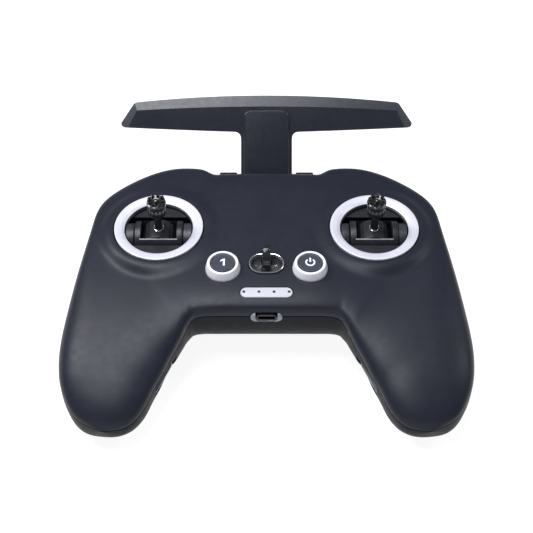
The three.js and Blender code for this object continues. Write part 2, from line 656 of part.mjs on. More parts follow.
function addHinge() {
  addNode(group, 'hinge_pin', rod(PIN_RADIUS, 46, 'x', 0, HINGE_Y, HINGE_Z, 16), 'steel');
  const profile = new THREE.Shape();
  profile.moveTo(CHEEK_BACK, 0);
  profile.lineTo(HINGE_Y + 1.6, 0);
  profile.absarc(HINGE_Y, HINGE_Z, CHEEK_ROUND, -Math.PI / 2 + 0.33, 0.5, false);
  profile.lineTo(68.6, CHEEK_TOP - 5.6);
  profile.quadraticCurveTo(68, CHEEK_TOP - 0.6, 64, CHEEK_TOP);
  profile.lineTo(CHEEK_BACK, CHEEK_TOP);
  profile.closePath();
  for (const [word, side] of [['left', -1], ['right', 1]]) {
    const bore = rod(PIN_RADIUS + GAP, 60, 'x', 0, HINGE_Y, HINGE_Z, 12);
    const start = side > 0 ? CHEEK_INNER : -CHEEK_OUTER;
    const block = prism(profile, 0, CHEEK_OUTER - CHEEK_INNER, 5).rotate([90, 0, 90]);
    addNode(group, `${word}_hinge_cheek`, block.translate(start, 0, 0).subtract(bore), 'case');
    const washer = rod(WASHER_RADIUS, WASHER_WIDTH, 'x', side * WASHER_X, HINGE_Y, HINGE_Z, 16);
    addNode(group, `${word}_hinge_washer`, washer.subtract(bore), 'rubber');
  }
}

// ---------- assembly ----------
addFrontShell();
addRearShell();
addStick('left', -1);
addStick('right', 1);
addFaceButton('custom', -1);
addFaceButton('power', 1);
addStrapMount();
addLedBar();
addUsbPort();
addKeys();
addDial();
addSlotLiners();
addElectronics();
addScrews();
addHinge();
addAerial();
group.position.y = -ORIGIN_Y;

export default group;
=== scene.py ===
# A hand-held radio transmitter with two ringed sticks, lying on its back with its T-shaped aerial raised.
# Lengths are millimetres until solid() turns them into the frame's metres.
import json
import math

import bmesh
import bpy
import numpy as np
from mathutils import Euler, Matrix, Vector


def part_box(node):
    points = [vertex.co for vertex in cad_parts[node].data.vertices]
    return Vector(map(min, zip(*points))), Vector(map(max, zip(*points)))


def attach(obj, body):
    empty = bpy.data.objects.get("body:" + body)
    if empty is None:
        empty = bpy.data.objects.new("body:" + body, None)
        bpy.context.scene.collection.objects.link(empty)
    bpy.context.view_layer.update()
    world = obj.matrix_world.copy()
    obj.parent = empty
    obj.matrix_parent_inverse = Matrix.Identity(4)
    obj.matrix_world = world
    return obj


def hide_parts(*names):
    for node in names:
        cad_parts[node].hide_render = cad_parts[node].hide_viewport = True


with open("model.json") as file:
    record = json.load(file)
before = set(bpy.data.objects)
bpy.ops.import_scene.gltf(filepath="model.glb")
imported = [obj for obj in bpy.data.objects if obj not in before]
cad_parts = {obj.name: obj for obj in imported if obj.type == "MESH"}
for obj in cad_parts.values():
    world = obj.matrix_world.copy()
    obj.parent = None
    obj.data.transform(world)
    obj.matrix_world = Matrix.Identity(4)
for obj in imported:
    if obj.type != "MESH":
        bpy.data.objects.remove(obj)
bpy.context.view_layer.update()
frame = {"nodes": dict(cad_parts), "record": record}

MM = 0.001
SIDES = (("left", -1), ("right", 1))


def middle(node):
    low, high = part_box(node)
    return (low + high) / 2 / MM


# ---------- driving dimensions ----------
HINGE_Y = 67.2                                  # aerial hinge, from the middle of the case's outline table
SHIFT = Vector((0, middle("hinge_pin").y - HINGE_Y, 0))
HINGE_Z = middle("hinge_pin").z
STICK = middle("right_stick_ring") - SHIFT
STICK_X, STICK_Y = STICK.x, STICK.y
RING_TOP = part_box("right_stick_ring")[1].z / MM
RING_OUTER = (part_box("right_stick_ring")[1].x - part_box("right_stick_ring")[0].x) / 2 / MM
RING_INNER = 16.6
CAP_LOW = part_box("right_stick_cap")[0].z / MM
TEETH = 9
YOKE_RADIUS = 9.5
YOKE_HALF = 11.7
YOKE_PIN_END = 16.7
BOSS_REACH = 15.9                               # the gimbal's bosses are trimmed to this radius
PIVOT_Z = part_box("right_pitch_yoke")[1].z / MM - YOKE_RADIUS
PLATE_Z = 40.9
PLATE_GAP = 9.4
DRUM_RADIUS = 8.6
DRUM_HALF = 5.9
WINDOW_HALF_X = 8.8
WINDOW_HALF_Y = 6.05
BUTTON = middle("power_bezel") - SHIFT
BEZEL_RADIUS = 8.25
CAP_RADIUS = 5.75
BEZEL_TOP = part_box("power_bezel")[1].z / MM
CAP_TOP = BEZEL_TOP + 0.1
STRAP_Y = (middle("strap_rim") - SHIFT).y
STRAP_SIZE = (16.6, 12)
LED_Y = -20.2
LED_Z = 41.5
LED_SIZE = (24.2, 5.5)
LED_TILT = 0.14
LED_PITCH = 7
USB_Z = middle("usb_trim").z
USB_FRONT = -29.9
USB_SIZE = (15, 5.4)
AERIAL_ANGLE = math.radians(47)
ARM_WIDTH = 27.2
BAR_HALF_TOP = 69.2
BAR_HALF_BOTTOM = 77.4
BAR_LOW = 43.4
BAR_HIGH = 59.2
BAR_CROWN = 3.4
AERIAL_FRONT = 4.2
AERIAL_BACK = 3.9
BAR_FRONT = 3.1                                 # the bar's face lies a step below the arm's
CHEEK_INNER = 15.1
CHEEK_OUTER = 24.1
CHEEK_TOP = 36.6
PIN_BORE = 2.3
KEY_Z = 23
KEY_SIZE = (13, 6.6)
LEVER_SIZE = (5.4, 5)
LEVER_TRAVEL = 4
DIAL_RADIUS = 7.8
DIAL_WIDTH = 6
DIAL_DEPTH = 6.8
SEATS = {                                       # side, x, y of the wall, turn of the wall from +Y in degrees
    "pause": (-1, 42, 65.2, 0),
    "dial": (-1, 57, 61.8, 22.5),
    "c2": (-1, 73.2, 51, 42),
    "start_stop": (1, 42, 65.2, 0),
    "record": (1, 57, 61.8, 22.5),
    "mode": (1, 73.2, 51, 42),
}
SLOT_PLACE = (47.4, -50.6, 19.4)                # spare stick slot in the inner side of each grip
SLOT_SIZE = (19, 8)
SLOT_DEPTH = 12
SLOT_TURN = math.radians(22)
SCREWS = (
    ("left_rear_screw", -31, 46, 9.6),
    ("right_rear_screw", 31, 46, 9.6),
    ("left_handle_screw", -72, -47, 0.2),
    ("right_handle_screw", 72, -47, 0.2),
)
CUT = 0.8                                       # how much wider and higher an opening is than its part
GAP = 0.3
WALL = 2.4
PLATEAU_Z = 43.7
PLATEAU_INNER = 23.6
PLATEAU_OUTER = 30.5
LIP = 0.35                                      # rounding of the parting edge
CAMERA_PLACE = (0, -0.37977, 0.4489)            # metres
CAMERA_PITCH = 48.5                             # degrees above the face
CAMERA_LENS = 77.67

# Sections of the case from its middle to a grip's tip.
# Outer x, y, inner x, y, seam z outer, inner, top z outer, inner, bottom z outer, inner.
SECTIONS = np.array([
    [0, 61.3, 0, -29, 35.5, 35.5, 42.9, 43.4, 9.6, 9.8],
    [12, 61.3, 10, -29, 35.5, 35.5, 42.9, 43.4, 9.6, 9.8],
    [22, 61, 18.5, -29, 35.5, 35.5, 42.9, 43.4, 9.6, 9.8],
    [27, 61, 24.5, -29, 35.4, 35.4, 42.9, 43.2, 9.6, 9.8],
    [33.8, 64.8, 30.2, -29.1, 35.2, 35, 43, 42.8, 9.6, 9.8],
    [46, 65.2, 33.8, -29.8, 35, 34, 43, 42.3, 9.6, 9.8],
    [57, 61.8, 35.6, -31.8, 34.8, 33, 42.9, 41.8, 9.6, 9.8],
    [68.5, 54.8, 37, -33.8, 34.8, 31.8, 42.7, 41.2, 9.6, 9.6],
    [79, 45.5, 38.2, -36.4, 34.7, 30.6, 42.3, 40.4, 9.6, 9.2],
    [84.3, 36.2, 39.6, -39.4, 34.5, 29.6, 42, 39.4, 9.6, 8.8],
    [87, 20, 41.5, -43.2, 33.5, 28.4, 41.8, 38.2, 9.6, 8],
    [90.2, 0, 44.4, -48.8, 31.5, 26.8, 41, 36.6, 8.6, 6.8],
    [93, -18, 47.6, -55.8, 28.5, 25, 39.4, 34.6, 4, 4.6],
    [95, -35, 51, -62, 26, 23, 37, 32.2, -1.2, 1.6],
    [95.2, -47, 53.6, -68, 24.5, 21.5, 34.6, 30, -2.8, 1],
    [93.8, -58, 56.3, -72.8, 23.2, 20, 31.6, 27.6, -1.8, 3.2],
    [90.3, -67.6, 59.8, -76.8, 21.8, 18.8, 28, 25, 2.2, 6.4],
    [84.5, -75.6, 65, -79.6, 20, 18.2, 23.6, 22, 8, 10.6],
    [73.5, -81, 73.5, -81, 18.6, 18.6, 18.6, 18.6, 18.6, 18.6],
])
LAST = len(SECTIONS) - 1
HANDLE_START = 7
TIP_INSET = 0.972
COLUMNS_PER_SECTION = 8
STEPS_TOP = 60
STEPS_BOTTOM = 44


# ---------- meshes ----------
def solid(verts, faces, place=None):
    """A closed mesh object from design millimetres, with its faces pointing out."""
    matrix = Matrix.Scale(MM, 4) @ Matrix.Translation(SHIFT)
    if place is not None:
        matrix = matrix @ place
    mesh = bpy.data.meshes.new("solid")
    mesh.from_pydata([matrix @ Vector(v) for v in verts], [], faces)
    bm = bmesh.new()
    bm.from_mesh(mesh)
    bmesh.ops.remove_doubles(bm, verts=bm.verts, dist=1e-7)
    bmesh.ops.recalc_face_normals(bm, faces=bm.faces)
    bm.to_mesh(mesh)
    bm.free()
    obj = bpy.data.objects.new("solid", mesh)
    bpy.context.scene.collection.objects.link(obj)
    return obj


def combine(body, tools, operation="DIFFERENCE"):
    """Cuts the tools out of body, or joins them to it, and deletes them."""
    for tool in tools:
        modifier = body.modifiers.new("combine", "BOOLEAN")
        modifier.operation = operation
        modifier.solver = "MANIFOLD"
        modifier.object = tool
    depsgraph = bpy.context.evaluated_depsgraph_get()
    mesh = bpy.data.meshes.new_from_object(body.evaluated_get(depsgraph))
    body.modifiers.clear()
    body.data = mesh
    for tool in tools:
        bpy.data.objects.remove(tool)
    return body


def piece(obj, name, look, body="root", replaces=(), crease=32):
    """Names a finished piece, gives it its look and fixes it to its CAD body."""
    obj.name = name
    obj.data.name = name
    obj.data.materials.clear()
    obj.data.materials.append(LOOKS[look]())
    obj.data.shade_smooth()
    obj.data.set_sharp_from_angle(angle=math.radians(crease))
    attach(obj, body)
    if replaces:
        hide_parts(*replaces)
    return obj


def loft(rings, capped=True, looped=False):
    """Vertices and faces of a skin through rings of equal length."""
    count = len(rings[0])
    verts = [point for ring in rings for point in ring]
    faces = []
    for i in range(len(rings) if looped else len(rings) - 1):
        a = i * count
        b = (i + 1) % len(rings) * count
        for j in range(count):
            k = (j + 1) % count
            faces.append((a + j, a + k, b + k, b + j))
    if capped and not looped:
        faces.append(tuple(reversed(range(count))))
        faces.append(tuple(range(len(verts) - count, len(verts))))
    return verts, faces


def lathe(profile, sides=96, looped=False, wave=None):
    """A solid of revolution about Z from (radius, z) pairs; wave(angle, z) may add to the radius."""
    angles = [2 * math.pi * k / sides for k in range(sides)]
    rings = []
    for radius, z in profile:
        extra = [wave(a, z) if wave and radius > 0 else 0 for a in angles]
        reach = [radius + e for e in extra]
        rings.append([(r * math.cos(a), r * math.sin(a), z) for a, r in zip(angles, reach)])
    return loft(rings, capped=False, looped=looped)


def soften(points, radius, closed=True, steps=4):
    """Rounds the corners of a line or outline."""
    result = []
    for i, corner in enumerate(points):
        if not closed and i in (0, len(points) - 1):
            result.append(tuple(corner))
            continue
        here = Vector(corner)
        before = Vector(points[i - 1]) - here
        after = Vector(points[(i + 1) % len(points)]) - here
        start = here + before.normalized() * min(radius, before.length * 0.48)
        end = here + after.normalized() * min(radius, after.length * 0.48)
        for k in range(steps + 1):
            t = k / steps
            result.append(tuple((1 - t) ** 2 * start + 2 * t * (1 - t) * here + t * t * end))
    return result


def stadium(width, depth, steps=20):
    radius = min(width, depth) / 2
    half = max(width, depth) / 2 - radius
    points = []
    for end in (1, -1):
        for k in range(steps + 1):
            a = math.pi * (k / steps - 0.5)
            along = end * (half + radius * math.cos(a))
            across = end * radius * math.sin(a)
            points.append((along, across) if width >= depth else (-across, along))
    return points


def rectangle(width, depth, radius, steps=5):
    corners = [
        (-width / 2, -depth / 2), (width / 2, -depth / 2), (width / 2, depth / 2), (-width / 2, depth / 2),
    ]
    return soften(corners, radius, steps=steps)


def inset(outline, distance):
    """The outline moved inwards; it runs anticlockwise."""
    if distance == 0:
        return list(outline)
    points = np.array(outline)
    ahead = np.roll(points, -1, axis=0) - points
    behind = points - np.roll(points, 1, axis=0)
    ahead /= np.linalg.norm(ahead, axis=1)[:, None] + 1e-12
    behind /= np.linalg.norm(behind, axis=1)[:, None] + 1e-12
    normals = np.stack([-(ahead[:, 1] + behind[:, 1]), ahead[:, 0] + behind[:, 0]], axis=1)
    normals /= np.linalg.norm(normals, axis=1)[:, None] + 1e-12
    return [tuple(p) for p in points + normals * distance]


def layered(outline, levels, place=None):
    """A solid whose outline is inset by the second number at the height of the first."""
    rings = [[(x, y, z) for x, y in inset(outline, d)] for z, d in levels]
    return solid(*loft(rings), place)


def rounded_levels(low, high, foot=0.0, edge=0.4, steps=4):
    """Levels of a slab with its lower and upper edges rounded."""
    turns = [math.pi / 2 * k / steps for k in range(steps + 1)]
    bottom = [(low, 0)]
    top = [(high, 0)]
    if foot:
        bottom = [(low + foot * (1 - math.cos(t)), foot * (1 - math.sin(t))) for t in turns]
    if edge:
        top = [(high - edge * (1 - math.sin(t)), edge * (1 - math.cos(t))) for t in turns]
    return bottom + top


def slab(outline, low, high, foot=0.0, edge=0.4, place=None):
    return layered(outline, rounded_levels(low, high, foot, edge), place)


def sweep(path, section, up, closed=False):
    """Vertices and faces of a section carried along a path; the section's first axis keeps near up."""
    points = [Vector(p) for p in path]
    rings = []
    for i, point in enumerate(points):
        if closed:
            tangent = points[(i + 1) % len(points)] - points[i - 1]
        else:
            tangent = points[min(i + 1, len(points) - 1)] - points[max(i - 1, 0)]
        side = tangent.cross(Vector(up)).normalized()
        first = side.cross(tangent).normalized()
        rings.append([tuple(point + first * a + side * b) for a, b in section])
    return loft(rings, looped=closed)


def circle(radius, steps=10):
    angles = [2 * math.pi * k / steps for k in range(steps)]
    return [(radius * math.cos(a), radius * math.sin(a)) for a in angles]


def through(points, steps):
    """A smooth line through the points."""
    p = np.array([points[0], *points, points[-1]], float)
    result = []
    for i in range(len(points) - 1):
        a, b, c, d = p[i:i + 4]
        for k in range(steps):
            result.append(tuple(cubic(a, b, c, d, k / steps)))
    result.append(tuple(p[-1]))
    return result


def cubic(a, b, c, d, t):
    return b + 0.5 * t * (c - a + t * (2 * a - 5 * b + 4 * c - d + t * (3 * (b - c) + d - a)))


def smooth(low, high, value):
    t = np.clip((value - low) / (high - low), 0, 1)
    return t * t * (3 - 2 * t)


# Local frames. A wall frame looks out along local +Z, with local X along the wall and local Y up.
def move(x, y, z):
    return Matrix.Translation((x, y, z))


OUTWARD = Matrix(((1, 0, 0, 0), (0, 0, 1, 0), (0, 1, 0, 0), (0, 0, 0, 1)))


def seat_frame(seat):
    side, x, y, turn = SEATS[seat]
    return move(side * x, y, KEY_Z) @ Matrix.Rotation(math.radians(-side * turn), 4, "Z") @ OUTWARD


def front_frame(z):
    """Looks out along -Y at the front wall."""
    return move(0, 0, z) @ Matrix(((1, 0, 0, 0), (0, 0, -1, 0), (0, 1, 0, 0), (0, 0, 0, 1)))


def slot_frame(side):
    """Local Z runs into the grip."""
    turn = SLOT_TURN if side > 0 else math.pi - SLOT_TURN
    inward = Matrix(((0, 0, 1, 0), (1, 0, 0, 0), (0, 1, 0, 0), (0, 0, 0, 1)))
    return move(side * SLOT_PLACE[0], SLOT_PLACE[1], SLOT_PLACE[2]) @ Matrix.Rotation(turn, 4, "Z") @ inward


def axle_frame(x, y, z):
    """Local Z runs along +X."""
    return move(x, y, z) @ Matrix.Rotation(math.pi / 2, 4, "Y")


AERIAL_FRAME = move(0, HINGE_Y, HINGE_Z) @ Matrix.Rotation(AERIAL_ANGLE, 4, "X")


# ---------- materials ----------
def new_material(name):
    material = bpy.data.materials.new(name)
    material.use_nodes = True
    return material, material.node_tree, material.node_tree.nodes["Principled BSDF"]


def link(tree, source, target):
    tree.links.new(source, target)


def noise(tree, scale, detail=3.0, stretch=None):
    node = tree.nodes.new("ShaderNodeTexNoise")
    node.inputs["Scale"].default_value = scale
    node.inputs["Detail"].default_value = detail
    place = tree.nodes.new("ShaderNodeTexCoord")
    vector = place.outputs["Object"]
    if stretch:
        mapping = tree.nodes.new("ShaderNodeMapping")
        mapping.inputs["Scale"].default_value = stretch
        link(tree, vector, mapping.inputs["Vector"])
        vector = mapping.outputs["Vector"]
    link(tree, vector, node.inputs["Vector"])
    return node.outputs["Fac"]


def spread(tree, value, low, high, start=0.3, end=0.7):
    node = tree.nodes.new("ShaderNodeMapRange")
    for name, number in (("From Min", start), ("From Max", end), ("To Min", low), ("To Max", high)):
        node.inputs[name].default_value = number
    link(tree, value, node.inputs["Value"])
    return node.outputs["Result"]


def blend_colours(tree, factor, first, second):
    node = tree.nodes.new("ShaderNodeMix")
    node.data_type = "RGBA"
    link(tree, factor, node.inputs["Factor"])
    for index, colour in ((6, first), (7, second)):
        if isinstance(colour, tuple):
            node.inputs[index].default_value = (*colour, 1)
        else:
            link(tree, colour, node.inputs[index])
    return node.outputs[2]


def surface(name, dark, light, rough, grain, bump,
            metal=0.0, coat=0.0, patch=60, stretch=None, wear=None, spec=0.5):
    """Moulded, painted or metal surface: mottled colour, uneven roughness, fine grain and worn edges."""
    material, tree, shader = new_material(name)
    colour = blend_colours(tree, spread(tree, noise(tree, patch, 4, stretch), 0, 1), dark, light)
    if wear:
        edge = tree.nodes.new("ShaderNodeNewGeometry")
        factor = spread(tree, edge.outputs["Pointiness"], 0, 1, 0.53, 0.62)
        colour = blend_colours(tree, factor, colour, wear)
    link(tree, colour, shader.inputs["Base Color"])
    link(tree, spread(tree, noise(tree, patch * 7, 5, stretch), *rough), shader.inputs["Roughness"])
    height = tree.nodes.new("ShaderNodeBump")
    height.inputs["Strength"].default_value = bump
    height.inputs["Distance"].default_value = 0.0001
    link(tree, noise(tree, grain, 2, stretch), height.inputs["Height"])
    link(tree, height.outputs["Normal"], shader.inputs["Normal"])
    shader.inputs["Metallic"].default_value = metal
    shader.inputs["Coat Weight"].default_value = coat
    shader.inputs["Coat Roughness"].default_value = 0.15
    shader.inputs["Specular IOR Level"].default_value = spec
    return material


def board_material():
    """Solder mask with tracks under it."""
    material, tree, shader = new_material("solder_mask")
    tracks = tree.nodes.new("ShaderNodeTexBrick")
    tracks.inputs["Scale"].default_value = 260
    tracks.inputs["Mortar Size"].default_value = 0.06
    tracks.inputs["Color1"].default_value = (0.012, 0.09, 0.04, 1)
    tracks.inputs["Color2"].default_value = (0.01, 0.07, 0.03, 1)
    tracks.inputs["Mortar"].default_value = (0.03, 0.19, 0.08, 1)
    place = tree.nodes.new("ShaderNodeTexCoord")
    link(tree, place.outputs["Object"], tracks.inputs["Vector"])
    link(tree, tracks.outputs["Color"], shader.inputs["Base Color"])
    link(tree, spread(tree, noise(tree, 400), 0.3, 0.45), shader.inputs["Roughness"])
    return material


def once(maker, *args, **options):
    made = []

    def get():
        if not made:
            made.append(maker(*args, **options))
        return made[0]
    return get


LOOKS = {
    "case": once(
        surface, "soft_touch_case", (0.0115, 0.0135, 0.0205), (0.0145, 0.017, 0.026),
        (0.36, 0.44), 5200, 0.10, patch=45, wear=(0.02, 0.023, 0.034), spec=0.2,
    ),
    # Darker copy of the case colour, painted shade: the front wall below the seam and the hinge cheeks are
    # darkened in colour, not by light.
    "rear_case": once(
        surface, "soft_touch_rear_case", (0.0055, 0.006, 0.0085), (0.0075, 0.0085, 0.0115),
        (0.42, 0.52), 5200, 0.12, patch=45, wear=(0.012, 0.0135, 0.018), spec=0.1,
    ),
    "aerial": once(
        surface, "aerial_cover_plastic", (0.012, 0.014, 0.021), (0.015, 0.0175, 0.026),
        (0.28, 0.36), 4200, 0.08, patch=50, wear=(0.026, 0.03, 0.042), spec=0.45,
    ),
    "black_plastic": once(
        surface, "black_gimbal_plastic", (0.006, 0.0065, 0.008), (0.011, 0.012, 0.014),
        (0.3, 0.42), 3000, 0.10, patch=160, wear=(0.03, 0.032, 0.036), spec=0.5,
    ),
    # Grey of the strap recess: partly the recess's own grey plastic, partly lightened as painted sheen on its
    # lobes.
    "strap_grey_painted_sheen": once(
        surface, "strap_recess_plastic", (0.045, 0.047, 0.052), (0.065, 0.068, 0.076),
        (0.16, 0.26), 2000, 0.04, coat=0.3, patch=180, stretch=(6, 1, 1), wear=(0.2, 0.2, 0.22),
    ),
    "cap_gloss": once(
        surface, "glossy_cap_plastic", (0.006, 0.0065, 0.0075), (0.011, 0.012, 0.014),
        (0.14, 0.22), 2600, 0.03, coat=0.5, patch=220, wear=(0.025, 0.027, 0.03),
    ),
    "gimbal": once(
        surface, "gimbal_cover_plastic", (0.010, 0.011, 0.014), (0.015, 0.0165, 0.021),
        (0.3, 0.42), 3400, 0.08, patch=150, wear=(0.04, 0.043, 0.052), spec=0.35,
    ),
    "silver": once(
        surface, "satin_silver_paint", (0.58, 0.58, 0.645), (0.63, 0.63, 0.695),
        (0.3, 0.4), 2600, 0.05, metal=0.15, coat=0.15, patch=130, wear=(0.72, 0.72, 0.77),
    ),
    "cup": once(
        surface, "button_cup_paint", (0.72, 0.72, 0.78), (0.77, 0.77, 0.83),
        (0.36, 0.46), 2600, 0.05, patch=130, wear=(0.84, 0.84, 0.88), spec=0.4,
    ),
    "strip": once(
        surface, "indicator_strip_paint", (0.45, 0.45, 0.5), (0.49, 0.49, 0.54),
        (0.36, 0.46), 2600, 0.05, patch=130, wear=(0.6, 0.6, 0.65), spec=0.3,
    ),
    "key": once(
        surface, "key_cap_plastic", (0.03, 0.036, 0.05), (0.04, 0.047, 0.064),
        (0.34, 0.44), 3600, 0.08, patch=220, wear=(0.16, 0.17, 0.2), spec=0.35,
    ),
    "steel": once(
        surface, "brushed_steel", (0.42, 0.42, 0.44), (0.52, 0.52, 0.54),
        (0.22, 0.36), 1500, 0.08, metal=1.0, patch=200, stretch=(1, 8, 1),
    ),
    "chrome": once(
        surface, "bright_chrome", (0.80, 0.81, 0.83), (0.86, 0.87, 0.89),
        (0.10, 0.18), 2000, 0.02, metal=0.9, patch=300,
    ),
    "gloss_black": once(
        surface, "gloss_black_plastic", (0.010, 0.011, 0.013), (0.018, 0.019, 0.022),
        (0.12, 0.22), 2200, 0.03, coat=0.15, patch=200, wear=(0.04, 0.042, 0.047), spec=0.35,
    ),
    "circuit_board": once(board_material),
    "cell_wrap": once(
        surface, "cell_wrap", (0.02, 0.12, 0.35), (0.03, 0.15, 0.42),
        (0.25, 0.35), 1800, 0.05, coat=0.3, patch=90,
    ),
    "rubber": once(
        surface, "washer_rubber", (0.012, 0.012, 0.013), (0.02, 0.02, 0.022),
        (0.7, 0.85), 2400, 0.2, patch=300,
    ),
    "grey_plastic": once(
        surface, "grey_trim_plastic", (0.17, 0.18, 0.20), (0.22, 0.23, 0.26),
        (0.2, 0.3), 2600, 0.04, coat=0.2, patch=160, wear=(0.34, 0.35, 0.39),
    ),
    "legend": once(
        surface, "printed_legend", (0.72, 0.73, 0.76), (0.80, 0.81, 0.84),
        (0.4, 0.5), 3000, 0.05, patch=300,
    ),
    "lens": once(
        surface, "indicator_lens", (0.01, 0.01, 0.012), (0.02, 0.02, 0.024),
        (0.1, 0.2), 2200, 0.02, coat=0.5, patch=400,
    ),
}


# ---------- case ----------
def section_at(place):
    span = min(max(place, 0), 1) * LAST
    k = min(int(span), LAST - 1)
    before = SECTIONS[k - 1] if k else SECTIONS[1] * [-1, 1, -1, 1, 1, 1, 1, 1, 1, 1]
    return cubic(before, SECTIONS[k], SECTIONS[k + 1], SECTIONS[min(k + 2, LAST)], span - k)


def case_points(place, turns, depth):
    """Points of the case's skin; turns 0 to 1 go over the top from outer to inner seam, 1 to 2 below."""
    turns = np.asarray(turns, float)
    top = turns[-1] <= 1
    row = section_at(abs(place))
    outer, inner = row[0:2], row[2:4]
    reach = inner - outer
    width = np.linalg.norm(reach)
    reach = reach * (min(depth / width, 0.5) if width > 1e-9 else 0)
    outer, inner = outer + reach, inner - reach
    handle = float(smooth(HANDLE_START, HANDLE_START + 6, abs(place) * LAST))
    cosine = np.cos(math.pi * turns)
    lean = (1 - cosine) / 2
    flat, full = (6 - 1.8 * lean, 2.5) if top else (6.5 - 3.1 * lean, 2.7)
    exponent = flat + (full - flat) * handle
    w = (1 - np.sign(cosine) * np.abs(cosine) ** (2 / exponent)) / 2
    rise = np.abs(np.sin(math.pi * turns)) ** (2 / exponent)
    seam = row[4] + (row[5] - row[4]) * w + (GAP / 2 if top else -GAP / 2)
    edge = row[6] + (row[7] - row[6]) * w - depth if top else row[8] + (row[9] - row[8]) * w + depth
    x = outer[0] + (inner[0] - outer[0]) * w
    y = outer[1] + (inner[1] - outer[1]) * w
    z = seam + (edge - seam) * rise
    if top and depth == 0:
        distance = np.hypot(x - STICK_X, y - STICK_Y)
        z = z + (PLATEAU_Z - z) * (1 - smooth(PLATEAU_INNER, PLATEAU_OUTER, distance))
    if not top:
        z = np.maximum(z, 0 if depth == 0 else WALL / 2)
    return np.stack([np.sign(place) * x if place else x, y, z], axis=1)


def even_turns(place, top, count):
    """Turns that space the skin's points evenly round a section."""
    angle = np.linspace(0, math.pi, 500)
    radius = (np.abs(np.cos(angle)) ** 6 + np.abs(np.sin(angle)) ** 6) ** (1 / 6)
    across = np.cos(angle) / radius
    turns = np.arccos(np.clip(np.sign(across) * np.abs(across) ** 3, -1, 1)) / math.pi
    turns = turns if top else 1 + turns
    points = case_points(place, turns, 0)
    length = np.concatenate([[0], np.cumsum(np.linalg.norm(np.diff(points, axis=0), axis=1))])
    where = np.interp(np.linspace(0, length[-1], count + 1), length, np.arange(len(turns)))
    return np.interp(where, np.arange(len(turns)), turns)


def skin_line(place, top, steps, depth):
    """One section's points, with the parting edge rounded on the outer skin."""
    turns = even_turns(place, top, steps)
    line = case_points(place, turns, depth)
    if depth:
        return np.concatenate([line[:1], line[:1], line, line[-1:], line[-1:]])
    up = 1 if top else -1
    lips = []
    for k in range(3):
        angle = math.pi / 2 * k / 3
        lip = case_points(place, turns[[0, -1]], LIP * (1 - math.sin(angle)) + 1e-9)
        lips.append(lip + [0, 0, up * LIP * (1 - math.cos(angle))])
    start = [lip[0] for lip in lips]
    end = [lip[1] for lip in reversed(lips)]
    return np.array([*start, *line[1:-1], *end])


def case_half(top, steps):
    """Half of the case as a thin closed shell."""
    columns = 2 * LAST * COLUMNS_PER_SECTION
    verts = []
    skins = []
    for depth, reach in ((0, 1), (WALL, TIP_INSET)):
        grid = []
        for i in range(columns + 1):
            place = (2 * i / columns - 1) * reach
            if i in (0, columns):
                line = np.repeat(case_points(place, [0.0 if top else 1.0 + 1e-9], 50), steps + 5, axis=0)
            else:
                line = skin_line(place, top, steps, depth)
            grid.append(range(len(verts), len(verts) + len(line)))
            verts.extend(map(tuple, line))
        skins.append(grid)
    faces = []
    for i in range(columns):
        for near, far, flip in ((skins[0][i], skins[0][i + 1], False), (skins[1][i], skins[1][i + 1], True)):
            for j in range(len(near) - 1):
                quad = (near[j], near[j + 1], far[j + 1], far[j])
                faces.append(quad[::-1] if flip else quad)
        for j in (0, -1):
            faces.append((skins[0][i][j], skins[0][i + 1][j], skins[1][i + 1][j], skins[1][i][j]))
    return solid(verts, faces)


def hole(radius, low, surface_z, flare, x, y):
    """A round cutter that flares where it leaves the surface."""
    wide = radius + flare
    profile = [(0, low), (radius, low), (radius, surface_z - flare), (wide, surface_z), (wide, 60), (0, 60)]
    return solid(*lathe(profile, 96), move(x, y, 0))


def led_frame():
    return move(0, LED_Y, LED_Z) @ Matrix.Rotation(LED_TILT, 4, "X")


def usb_cutter():
    outline = stadium(USB_SIZE[0] + CUT, USB_SIZE[1] + CUT)
    return slab(outline, -USB_FRONT - 6, -USB_FRONT + 3, 0, 0, front_frame(USB_Z))


def add_front_shell():
    tools = []
    for _, side in SIDES:
        tools.append(hole(RING_OUTER + 0.5, 36, PLATEAU_Z, 0.35, side * STICK_X, STICK_Y))
        tools.append(hole(BEZEL_RADIUS + 0.25, 36, 43.4, 0.3, side * BUTTON.x, BUTTON.y))
    strap = stadium(STRAP_SIZE[0] + CUT, STRAP_SIZE[1] + CUT)
    tools.append(layered(strap, [(36, 0), (43, 0), (43.5, -0.5), (60, -0.5)], move(0, STRAP_Y, 0)))
    tools.append(slab(stadium(LED_SIZE[0] + CUT, LED_SIZE[1] + CUT), -6, 6, 0, 0, led_frame()))
    tools.append(usb_cutter())
    piece(combine(case_half(True, STEPS_TOP), tools), "front_shell_skin", "case", replaces=["front_shell"])


